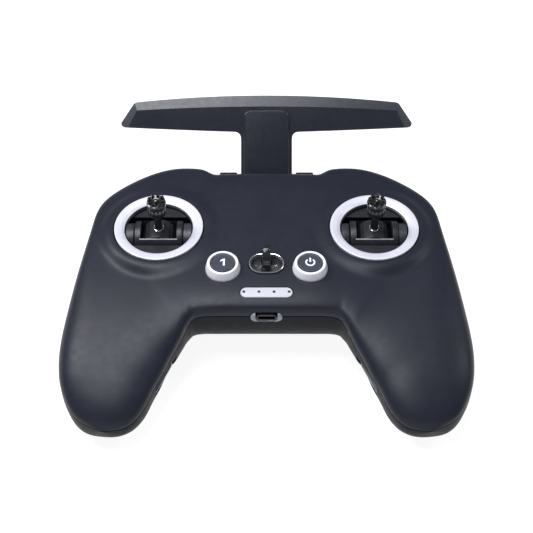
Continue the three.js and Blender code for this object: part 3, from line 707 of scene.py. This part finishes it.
def add_rear_shell():
    tools = [usb_cutter()]
    for seat in ("pause", "start_stop", "record"):
        tools.append(slab(stadium(KEY_SIZE[0] + CUT, KEY_SIZE[1] + CUT), -8, 6, 0, 0, seat_frame(seat)))
    for seat in ("c2", "mode"):
        width = LEVER_SIZE[0] + 2 * LEVER_TRAVEL + CUT
        tools.append(slab(stadium(width, LEVER_SIZE[1] + CUT), -8, 6, 0, 0, seat_frame(seat)))
    dial_hole = rectangle(DIAL_WIDTH + CUT, 2 * DIAL_RADIUS + 0.6, 1.2)
    tools.append(slab(dial_hole, -7, 6, 0, 0, seat_frame("dial")))
    for _, side in SIDES:
        outline = rectangle(SLOT_SIZE[0] + CUT, SLOT_SIZE[1] + CUT, 2.2)
        tools.append(slab(outline, -7, 13, 0, 0, slot_frame(side)))
    for _, x, y, low in SCREWS:
        profile = [(0, low - 5), (3, low - 5), (3, low + 1.3), (1.7, low + 1.3), (1.7, low + 6), (0, low + 6)]
        tools.append(solid(*lathe(profile, 40), move(x, y, 0)))
    tools.append(slab(rectangle(52, 30, 4), 5, 10.1, 0, 0, move(0, 16, 0)))
    shell = combine(case_half(False, STEPS_BOTTOM), tools)
    # The rear shell takes the darker copy of the case colour, which paints the shade on its front wall.
    piece(shell, "rear_shell_skin", "rear_case", replaces=["rear_shell"])


# ---------- back wall keys ----------
def add_keys():
    for seat in ("pause", "start_stop", "record"):
        key = slab(stadium(*KEY_SIZE), -5.2, 1.4, 0.2, 0.9, seat_frame(seat))
        dish = solid(*lathe([(0, 0.95), (1.6, 1.0), (2.4, 1.5), (2.4, 3), (0, 3)], 40), seat_frame(seat))
        name = f"{seat}_button"
        piece(combine(key, [dish]), f"{seat}_key", "key", name, replaces=[name])
    for seat, body in (("c2", "c2_lever"), ("mode", "mode_lever")):
        lever = slab(stadium(*LEVER_SIZE), -4.6, 3, 0.2, 0.7, seat_frame(seat))
        grooves = []
        for x in (-1.2, 0, 1.2):
            place = seat_frame(seat) @ move(x, 0, 3.15)
            grooves.append(slab(rectangle(0.5, 8, 0.2), -0.6, 2, 0, 0, place))
        piece(combine(lever, grooves), f"{seat}_switch_knob", "key", body, replaces=[f"{seat}_switch_lever"])


def add_dial():
    teeth = 40
    outline = []
    for k in range(teeth * 4):
        radius = DIAL_RADIUS if k % 4 < 2 else DIAL_RADIUS - 0.5
        angle = 2 * math.pi * (k + 0.5) / (teeth * 4)
        outline.append((radius * math.cos(angle), radius * math.sin(angle)))
    place = seat_frame("dial") @ move(0, 0, -DIAL_DEPTH) @ Matrix.Rotation(math.pi / 2, 4, "Y")
    wheel = slab(outline, -DIAL_WIDTH / 2, DIAL_WIDTH / 2, 0.5, 0.5, place)
    bore = slab(circle(1.75, 32), -6, 6, 0, 0, place)
    piece(combine(wheel, [bore]), "dial_wheel_knurled", "key", "dial", replaces=["dial_wheel"])


def add_slot_liners():
    for word, side in SIDES:
        liner = slab(rectangle(*SLOT_SIZE, 2), 0, SLOT_DEPTH, 0.3, 0.3, slot_frame(side))
        inside = rectangle(SLOT_SIZE[0] - 2, SLOT_SIZE[1] - 2, 1.6)
        cavity = slab(inside, -1, SLOT_DEPTH - 1, 0, 1, slot_frame(side))
        liner = combine(liner, [cavity])
        piece(liner, f"{word}_slot_lining", "grey_plastic", replaces=[f"{word}_slot_liner"])


# ---------- sticks ----------
def add_ring(word, place):
    top = RING_TOP
    profile = [
        (RING_INNER, top - 1.6), (RING_OUTER, top - 1.6), (RING_OUTER, top), (RING_OUTER - 1.2, top),
        (RING_INNER + 1.6, top - 0.35), (RING_INNER, top - 1.1),
    ]
    ring = solid(*lathe(soften(profile, 0.3), 128, looped=True), place)
    piece(ring, f"{word}_ring_trim", "silver", replaces=[f"{word}_stick_ring"])


def add_housing(word, place):
    """The cup under the ring, with plates before and behind the barrel and a boss at each end of it."""
    collar = RING_TOP - 1.6 - GAP
    profile = [
        (0, 16.6), (19, 16.6), (19, 35.8), (23.4, 35.8), (23.4, 37.6), (RING_OUTER - 0.1, 37.6),
        (RING_OUTER - 0.1, collar), (RING_INNER + 0.1, collar), (16.2, collar - 0.4), (16, collar - 1.4),
        (16.6, 41), (17.3, 40.4), (17.3, 18.4), (0, 18.4),
    ]
    cup = solid(*lathe(soften(profile, 0.2, closed=False, steps=2), 96), place)
    plate = slab(circle(17.6, 64), PLATE_Z - 0.9, PLATE_Z, 0, 0, place)
    sweep_room = slab(rectangle(60, 2 * PLATE_GAP, 0.1), 30, 60, 0, 0, place)
    cup = combine(cup, [combine(plate, [sweep_room])], "UNION")
    bosses = []
    for low in (YOKE_HALF + 0.35, -YOKE_HALF - 5.35):
        boss = slab(circle(8.3, 24), low, low + 5, 0, 0.3, place @ axle_frame(0, 0, PIVOT_Z))
        bosses.append(combine(boss, [slab(circle(BOSS_REACH, 64), 16, 60, 0, 0, place)], "INTERSECT"))
    bore = slab(circle(2, 32), -40, 40, 0, 0, place @ axle_frame(0, 0, PIVOT_Z))
    cup = combine(combine(cup, bosses, "UNION"), [bore])
    piece(cup, f"{word}_gimbal_cup", "gimbal", replaces=[f"{word}_gimbal_housing"])


def add_yoke(word, place):
    """The barrel that pitches, with chamfered ends and a window for the inner drum."""
    half = YOKE_HALF
    profile = [(0, -half), (YOKE_RADIUS - 0.4, -half), (YOKE_RADIUS, -half + 0.4)]
    profile += [(r, -z) for r, z in reversed(profile)]
    profile = soften(profile, 0.3, closed=False, steps=3)
    barrel = solid(*lathe(profile, 120), place @ axle_frame(0, 0, PIVOT_Z))
    opening = rectangle(2 * WINDOW_HALF_X, 2 * WINDOW_HALF_Y, 0.9)
    window = slab(opening, PIVOT_Z - 15, PIVOT_Z + 15, 0, 0, place)
    barrel = combine(barrel, [window])
    pins = []
    for end in (-1, 1):
        rings = [[(x, y, z) for x, y in circle(1.6, 24)] for z in (end * (half - 0.5), end * YOKE_PIN_END)]
        pins.append(solid(*loft(rings), place @ axle_frame(0, 0, PIVOT_Z)))
    barrel = combine(barrel, pins, "UNION")
    piece(barrel, f"{word}_yoke_barrel", "gimbal", f"{word}_pitch", replaces=[f"{word}_pitch_yoke"])
    # Lighter grey strip along the window's front edge: a painted highlight for the lit front edge of the
    # window.
    front = -WINDOW_HALF_Y - 0.1
    height = PIVOT_Z + math.sqrt(YOKE_RADIUS ** 2 - front ** 2) - 0.05
    line = [(x, front, height) for x in np.linspace(-WINDOW_HALF_X - 0.3, WINDOW_HALF_X + 0.3, 24)]
    lip = solid(*sweep(line, circle(0.36, 12), (0, 0, 1)), place)
    piece(lip, f"{word}_window_highlight_lip", "grey_plastic", f"{word}_pitch")


def add_drum(word, place):
    """The inner drum that rolls, with a groove on each side of the stick's slot."""
    start = math.asin(-4 / DRUM_RADIUS)
    angles = np.linspace(start, math.pi - start, 72)
    outline = [(-DRUM_RADIUS * math.cos(a), DRUM_RADIUS * math.sin(a)) for a in angles]
    lying = place @ move(0, 0, PIVOT_Z) @ Matrix(((1, 0, 0, 0), (0, 0, 1, 0), (0, 1, 0, 0), (0, 0, 0, 1)))
    drum = slab(outline[::-1], -DRUM_HALF, DRUM_HALF, 0.3, 0.3, lying)
    slot_floor = PIVOT_Z + DRUM_RADIUS - 0.35
    slot = slab(rectangle(4.2, 3 * DRUM_HALF, 0.4), slot_floor, 60, 0, 0, place @ move(0, DRUM_HALF, 0))
    grooves = []
    for x in (-6, 6):
        groove = slab(rectangle(0.4, 30, 0.1), PIVOT_Z + 2, 60, 0, 0, place @ move(x, 0, 0))
        groove.location.z = (math.sqrt(DRUM_RADIUS ** 2 - x * x) - 2.35) * MM
        grooves.append(groove)
    drum = combine(drum, [slot, *grooves])
    piece(drum, f"{word}_inner_drum", "black_plastic", f"{word}_stick", replaces=[f"{word}_roll_drum"])
    # Bright chrome collar round the stick's slot: a painted highlight standing for the slot's lit edge.
    top = PIVOT_Z + DRUM_RADIUS
    hook = [(2.15 * math.cos(a), 2.15 * math.sin(a), top + 0.12) for a in np.linspace(-math.pi, 0, 17)]
    line = [(-2.15, 1.8, top + 0.1), *hook, (2.15, 1.8, top + 0.1)]
    collar = solid(*sweep(line, circle(0.24, 8), (0, 0, 1)), place)
    piece(collar, f"{word}_slot_highlight_collar", "chrome", f"{word}_stick")


def flutes(angle, z):
    """Shallow upright grooves round the cap's waist."""
    depth = 0.24 * float(smooth(CAP_LOW + 0.8, CAP_LOW + 2, z) * (1 - smooth(CAP_LOW + 6, CAP_LOW + 7.2, z)))
    return -depth * (0.5 + 0.5 * math.cos(14 * angle))


def add_cap(word, place):
    body = [
        (0, 0), (2.5, 0), (3.3, 0.3), (3.9, 1), (4.2, 2), (4.35, 3.2), (4.4, 4.6), (4.35, 6.2), (4.4, 7.2),
        (4.6, 7.8), (4.65, 8.6), (4.5, 9.1), (4.1, 9.3), (2.5, 8.8), (1.4, 8.6), (0, 8.6),
    ]
    cap = solid(*lathe([(r, z + CAP_LOW) for r, z in body], 112, wave=flutes), place)
    levels = [(8.2, 0), (9.2, 0.06), (10, 0.28), (10.5, 0.5), (10.7, 0.75)]
    levels = [(CAP_LOW + z, d) for z, d in levels]
    tools = []
    for k in range(TEETH):
        angle = 2 * math.pi * k / TEETH
        spot = move(3.65 * math.cos(angle), 3.65 * math.sin(angle), 0) @ Matrix.Rotation(angle, 4, "Z")
        tools.append(layered(rectangle(1.8, 1.75, 0.5), levels, place @ spot))
    pin = [(0, 8), (1.15, 8), (1.1, 9.6), (0.85, 10.2), (0.4, 10.4), (0, 10.45)]
    tools.append(solid(*lathe([(r, z + CAP_LOW) for r, z in pin], 24), place))
    cap = combine(cap, tools, "UNION")
    piece(cap, f"{word}_cap_crown", "cap_gloss", f"{word}_stick", replaces=[f"{word}_stick_cap"])


def add_shaft(word, place):
    low = PIVOT_Z + DRUM_RADIUS - 0.2
    profile = [
        (0, low), (1.95, low), (1.95, low + 0.9), (1.7, low + 1.2), (1.7, CAP_LOW - 0.6),
        (1.5, CAP_LOW - 0.1), (0, CAP_LOW - 0.1),
    ]
    shaft = solid(*lathe(soften(profile, 0.15, closed=False), 48), place)
    piece(shaft, f"{word}_shaft_rod", "black_plastic", f"{word}_stick", replaces=[f"{word}_stick_shaft"])


def add_sticks():
    for word, side in SIDES:
        place = move(side * STICK_X, STICK_Y, 0)
        for part in (add_ring, add_housing, add_yoke, add_drum, add_shaft, add_cap):
            part(word, place)


# ---------- control face ----------
def add_button(name, side):
    place = move(side * BUTTON.x, BUTTON.y, 0)
    profile = [
        (CAP_RADIUS + 0.25, 39.4), (BEZEL_RADIUS, 39.4), (BEZEL_RADIUS, 43.6),
        (7.35, BEZEL_TOP - 0.2), (7, BEZEL_TOP),
        (CAP_RADIUS + 0.5, BEZEL_TOP), (CAP_RADIUS + 0.25, BEZEL_TOP - 0.4),
    ]
    bezel = solid(*lathe(soften(profile, 0.45, steps=5), 96, looped=True), place)
    piece(bezel, f"{name}_bezel_cup", "cup", replaces=[f"{name}_bezel"])
    profile = [(0, 41.6), (CAP_RADIUS, 41.6), (CAP_RADIUS, CAP_TOP + 0.05),
               (5.2, CAP_TOP + 0.1), (4.8, CAP_TOP), (0, CAP_TOP)]
    cap = solid(*lathe(soften(profile, 0.4, closed=False), 96), place)
    piece(cap, f"{name}_button_cap", "key", f"{name}_button", replaces=[f"{name}_button"])


def numeral_one():
    return [(0.1, -2.1), (1.0, -2.1), (1.0, 2.2), (0.3, 2.2), (-1.1, 1.2), (-1.1, 0.3), (0.1, 1.1)]


def power_arc(outer=2.35, inner=1.6, gap=38):
    start, end = math.radians(90 + gap), math.radians(450 - gap)
    angles = [start + (end - start) * k / 48 for k in range(49)]
    outline = [(outer * math.cos(a), outer * math.sin(a)) for a in angles]
    return outline + [(inner * math.cos(a), inner * math.sin(a)) for a in reversed(angles)]


def add_legends():
    low, high = CAP_TOP - 0.1, CAP_TOP + 0.05
    left = move(-BUTTON.x, BUTTON.y, 0)
    right = move(BUTTON.x, BUTTON.y, 0)
    piece(slab(numeral_one(), low, high, 0, 0, left), "custom_button_numeral", "legend", "custom_button")
    piece(slab(power_arc(), low, high, 0, 0, right), "power_button_arc", "legend", "power_button")
    bar = slab(rectangle(0.8, 2.6, 0.2), low, high, 0, 0, right @ move(0, 1.5, 0))
    piece(bar, "power_button_stroke", "legend", "power_button")


def add_strap_mount():
    place = move(0, STRAP_Y, 0)
    outline = stadium(*STRAP_SIZE, steps=32)
    bowl = [(39.3, 5.3), (39.4, 4.4), (39.8, 3.2), (40.6, 2.0), (41.6, 1.3), (43, 0.9), (45, 0.9)]

    def dished_cup():
        return combine(slab(outline, 37.8, 43.1, 0.3, 0.1, place), [layered(outline, bowl, place)])

    trench = slab(rectangle(5.5, 9.7, 0.8), 38.1, 46, 0, 0, place)
    piece(combine(dished_cup(), [trench]), "strap_recess_cup", "strap_grey_painted_sheen", replaces=["strap_recess"])
    # Black liner in the strap trench: a dark sheet that paints the shade inside the slot.
    slot = combine(slab(rectangle(5.4, 9.6, 0.8), 38.2, 46, 0, 0, place), [dished_cup()], "INTERSECT")
    slot = combine(slot, [slab(rectangle(4.7, 8.9, 0.6), 38.7, 46, 0, 0, place)])
    piece(slot, "strap_slot_painted_shade_liner", "black_plastic")
    rim = [(0.0, 43.2), (-0.1, 43.5), (-0.05, 43.85), (0.15, 44), (0.4, 43.95), (0.55, 43.6), (0.55, 43.2)]
    rings = [[(x, y, z) for x, y in inset(outline, d)] for d, z in rim]
    piece(solid(*loft(rings, looped=True), place), "strap_recess_rim", "chrome", replaces=["strap_rim"])
    arch = [(-3.5, 39.2), (-3.8, 43.5), (-3.2, 48.6), (1.4, 52), (4.8, 49.2), (3.8, 43.5), (3.5, 39.2)]
    path = through([(0, y, z) for y, z in arch], 10)
    section = soften([(-2, -1.05), (2, -1.05), (2, 1.05), (-2, 1.05)], 1, steps=5)
    bar = solid(*sweep(path, section, (1, 0, 0)), place)
    piece(bar, "strap_hook", "gloss_black", replaces=["strap_bar"])


def add_led_bar():
    bar = slab(stadium(*LED_SIZE, steps=24), -1.2, 1.2, 0.1, 0.45, led_frame())
    offsets = [LED_PITCH * k for k in (-1.5, -0.5, 0.5, 1.5)]
    places = [led_frame() @ move(x, 0.3, 0) for x in offsets]
    holes = [solid(*lathe([(0, 0.1), (0.72, 0.1), (0.72, 3), (0, 3)], 28), place) for place in places]
    piece(combine(bar, holes), "indicator_strip", "strip", replaces=["led_bar"])
    for number, place in enumerate(places, 1):
        lens = solid(*lathe([(0, 0.15), (0.66, 0.15), (0.6, 0.3), (0, 0.38)], 24), place)
        piece(lens, f"indicator_lens_{number}", "lens")


def add_usb_port():
    frame_out = front_frame(USB_Z)
    trim = slab(stadium(*USB_SIZE), -USB_FRONT - 3, -USB_FRONT, 0, 0.7, frame_out)
    levels = [(25, 0), (29.1, 0), (29.6, -0.15), (30.1, -0.5), (34, -0.5)]
    throat = layered(stadium(9.8, 4), levels, frame_out)
    notch = slab(rectangle(10.4, 8, 1.2), 26, 34, 0, 0, frame_out @ move(0, 3.4, 0))
    piece(combine(trim, [throat, notch]), "usb_surround", "grey_plastic", replaces=["usb_trim"])


def add_screws():
    for name, x, y, low in SCREWS:
        head = low + 0.3
        profile = [
            (0, head + 0.05), (1.9, head), (2.7, head + 0.35), (2.7, head + 0.9),
            (1.4, head + 0.9), (1.4, head + 10), (0, head + 10),
        ]
        screw = solid(*lathe(profile, 48), move(x, y, 0))
        arms = []
        for size in ((3, 0.7), (0.7, 3)):
            arms.append(slab(rectangle(*size, 0.1), head - 1, head + 0.5, 0, 0, move(x, y, 0)))
        piece(combine(screw, arms), f"{name}_head", "steel", replaces=[name])


# ---------- aerial ----------
def arc_to(points, control, end, steps=8):
    start = Vector(points[-1])
    control, end = Vector(control), Vector(end)
    for k in range(1, steps + 1):
        t = k / steps
        points.append(tuple((1 - t) ** 2 * start + 2 * t * (1 - t) * control + t * t * end))


def aerial_outline(start, depth=0.0):
    """Right half of the T from the arm's foot round to the bar's crown, then its mirror image."""
    arm = ARM_WIDTH / 2 - depth
    low = BAR_LOW + depth
    end = BAR_LOW + 2.2 + depth
    high = BAR_HIGH - depth
    wide = BAR_HALF_BOTTOM - 1.4 * depth
    narrow = BAR_HALF_TOP - 1.2 * depth
    fillet = 4
    half = [(arm, start)]
    half += [(arm, start + (low - fillet - start) * k / 6) for k in range(1, 7)]
    arc_to(half, (arm, low), (arm + fillet, low))
    arc_to(half, (wide / 2, low + 0.6), (wide - 3, end), 20)
    arc_to(half, (wide, end), (wide, end + 2.6))
    half.append((narrow + 2, high - 2))
    arc_to(half, (narrow + 1, high), (narrow - 2, high))
    crown = high + BAR_CROWN
    arc_to(half, ((narrow - 2) / 2, crown), (0, crown), 24)
    return half + [(-x, y) for x, y in reversed(half[:-1])]


def ridge_cutter():
    """Takes the bar's front face back above its ridge line."""
    rings = []
    drop = [(-0.2, 0.1), (0.4, -0.08), (8, -2.7)]
    for k in range(33):
        x = -82 + 164 * k / 32
        ridge = 56.6 - 1.2 * (x / 52) ** 2
        line = [(x, ridge + d, BAR_FRONT + n) for d, n in drop]
        rings.append(line + [(x, ridge + 8, 8), (x, ridge - 0.2, 8)])
    return solid(*loft(rings), AERIAL_FRAME)


def end_cutter(side):
    """Bevels one end of the bar."""
    rings = []
    drop = [(-0.2, 0.1), (0.4, -0.1), (8, -3.4)]
    for d in (36, 70):
        ridge = 73.6 - 0.52 * (d - 45)
        line = [(side * (ridge + s), d, BAR_FRONT + n) for s, n in drop]
        rings.append(line + [(side * (ridge + 8), d, 8), (side * (ridge - 0.2), d, 8)])
    return solid(*loft(rings), AERIAL_FRAME)


def add_aerial():
    front = slab(aerial_outline(5.2), 0.15, BAR_FRONT, 0.0, 0.8, AERIAL_FRAME)
    front = combine(front, [ridge_cutter(), end_cutter(-1), end_cutter(1)])
    tongue = soften([(-12.1, 5.6), (12.1, 5.6), (12.1, 54.7), (-12.1, 54.7)], 4.6, steps=10)
    raised = slab(tongue, 1, AERIAL_FRONT, 0, 0.75, AERIAL_FRAME)
    front = combine(front, [raised], "UNION")
    pocket = slab(aerial_outline(9, 1.8), -2.3, 0.7, 0, 0, AERIAL_FRAME)
    arm_pocket = slab(rectangle(20, 42, 2), -2.3, 2, 0, 0, AERIAL_FRAME @ move(0, 30, 0))
    front = combine(front, [pocket, arm_pocket])
    piece(front, "aerial_front_skin", "aerial", "aerial", replaces=["aerial_front_cover"], crease=14)
    rear = slab(aerial_outline(1), -AERIAL_BACK, -0.15, 1.3, 0, AERIAL_FRAME)
    half = ARM_WIDTH / 2
    knuckle = soften([(0, -half), (4.4, -half), (4.4, half), (0, half)], 0.4, closed=False)
    tube = solid(*lathe(knuckle, 64), AERIAL_FRAME @ axle_frame(0, 0, 0))
    bore = slab(circle(PIN_BORE, 32), -30, 30, 0, 0, AERIAL_FRAME @ axle_frame(0, 0, 0))
    rear = combine(rear, [tube], "UNION")
    rear = combine(rear, [slab(aerial_outline(9, 1.8), -2.3, 2.6, 0, 0, AERIAL_FRAME), bore])
    piece(rear, "aerial_rear_skin", "aerial", "aerial", replaces=["aerial_rear_cover"])


def add_cheeks():
    """The two blocks behind the case that hold the aerial's pin."""
    outline = [(61.8, 0), (HINGE_Y + 1.6, 0)]
    for k in range(17):
        a = -math.pi / 2 + 0.33 + (0.5 + math.pi / 2 - 0.33) * k / 16
        outline.append((HINGE_Y + 4.9 * math.cos(a), HINGE_Z + 4.9 * math.sin(a)))
    outline.append((68.6, CHEEK_TOP - 5.6))
    arc_to(outline, (68, CHEEK_TOP), (64, CHEEK_TOP))
    outline.append((61.8, CHEEK_TOP))
    upright = Matrix(((0, 0, 1, 0), (1, 0, 0, 0), (0, 1, 0, 0), (0, 0, 0, 1)))
    for word, side in SIDES:
        start = CHEEK_INNER if side > 0 else -CHEEK_OUTER
        block = slab(outline, start, start + CHEEK_OUTER - CHEEK_INNER, 0.7, 0.7, upright)
        bore = slab(circle(PIN_BORE, 32), -30, 30, 0, 0, axle_frame(0, HINGE_Y, HINGE_Z))
        # The cheeks take the same darker copy of the case colour, painted shade.
        piece(combine(block, [bore]), f"{word}_cheek_block", "rear_case", replaces=[f"{word}_hinge_cheek"])


# ---------- CAD nodes that stay ----------
def dress_cad_nodes():
    """Gives every CAD node that still shows its procedural material."""
    slots = {row["node"]: row["material_slot"] for row in frame["record"]["subparts"]}
    for name, node in frame["nodes"].items():
        if node.hide_render:
            continue
        # The USB socket takes the black plastic colour in place of its metal: painted shade for the dark port
        # opening.
        material = LOOKS["black_plastic" if name == "usb_socket" else slots[name]]()
        node.data.materials.clear()
        node.data.materials.append(material)


# ---------- studio ----------
def add_camera():
    camera = bpy.data.cameras.new("camera")
    camera.lens = CAMERA_LENS
    camera.sensor_width = 36
    camera.clip_start = 0.01
    obj = bpy.data.objects.new("camera", camera)
    obj.location = CAMERA_PLACE
    obj.rotation_euler = Euler((math.radians(90 - CAMERA_PITCH), 0, 0))
    bpy.context.scene.collection.objects.link(obj)
    bpy.context.scene.camera = obj


def add_light(name, place, aim, size, power, colour=(1, 1, 1)):
    light = bpy.data.lights.new(name, "AREA")
    light.shape = "RECTANGLE"
    light.size, light.size_y = size
    light.energy = power
    light.color = colour
    obj = bpy.data.objects.new(name, light)
    obj.location = place
    obj.rotation_euler = (Vector(aim) - Vector(place)).to_track_quat("-Z", "Y").to_euler()
    bpy.context.scene.collection.objects.link(obj)


def add_studio():
    material, tree, shader = new_material("pale_floor")
    tone = spread(tree, noise(tree, 2), 0.3, 0.32)
    link(tree, tone, shader.inputs["Base Color"])
    shader.inputs["Roughness"].default_value = 0.9
    shader.inputs["Emission Color"].default_value = (1, 1, 1, 1)
    shader.inputs["Emission Strength"].default_value = 0.9
    half = 3.0
    mesh = bpy.data.meshes.new("floor")
    low = -0.0004
    corners = [(-half, -half, low), (half, -half, low), (half, half, low), (-half, half, low)]
    mesh.from_pydata(corners, [], [(0, 1, 2, 3)])
    mesh.materials.append(material)
    floor = bpy.data.objects.new("floor", mesh)
    bpy.context.scene.collection.objects.link(floor)
    world = bpy.data.worlds.new("studio")
    world.use_nodes = True
    background = world.node_tree.nodes["Background"]
    background.inputs["Color"].default_value = (0.88, 0.9, 1.0, 1)
    background.inputs["Strength"].default_value = 0.19
    bpy.context.scene.world = world
    add_light("top_softbox", (-0.15, 0.05, 0.95), (0, 0, 0), (0.7, 0.36), 8, (0.95, 0.97, 1))
    add_light("left_softbox", (-0.52, 0.15, 0.72), (0, 0, 0.02), (0.22, 0.4), 5.5, (0.96, 0.95, 1))
    add_light("right_softbox", (0.7, 0.15, 0.6), (0, 0, 0.02), (0.2, 0.5), 1.6, (0.96, 0.95, 1))
    add_light("front_fill", (0, -0.9, 0.25), (0, 0, 0.02), (0.9, 0.2), 1.2, (0.96, 0.95, 1))
    bpy.context.scene.view_settings.view_transform = "Standard"


add_camera()
add_front_shell()
add_rear_shell()
add_keys()
add_dial()
add_slot_liners()
add_sticks()
add_button("custom", -1)
add_button("power", 1)
add_legends()
add_strap_mount()
add_led_bar()
add_usb_port()
add_screws()
add_aerial()
add_cheeks()
dress_cad_nodes()
add_studio()
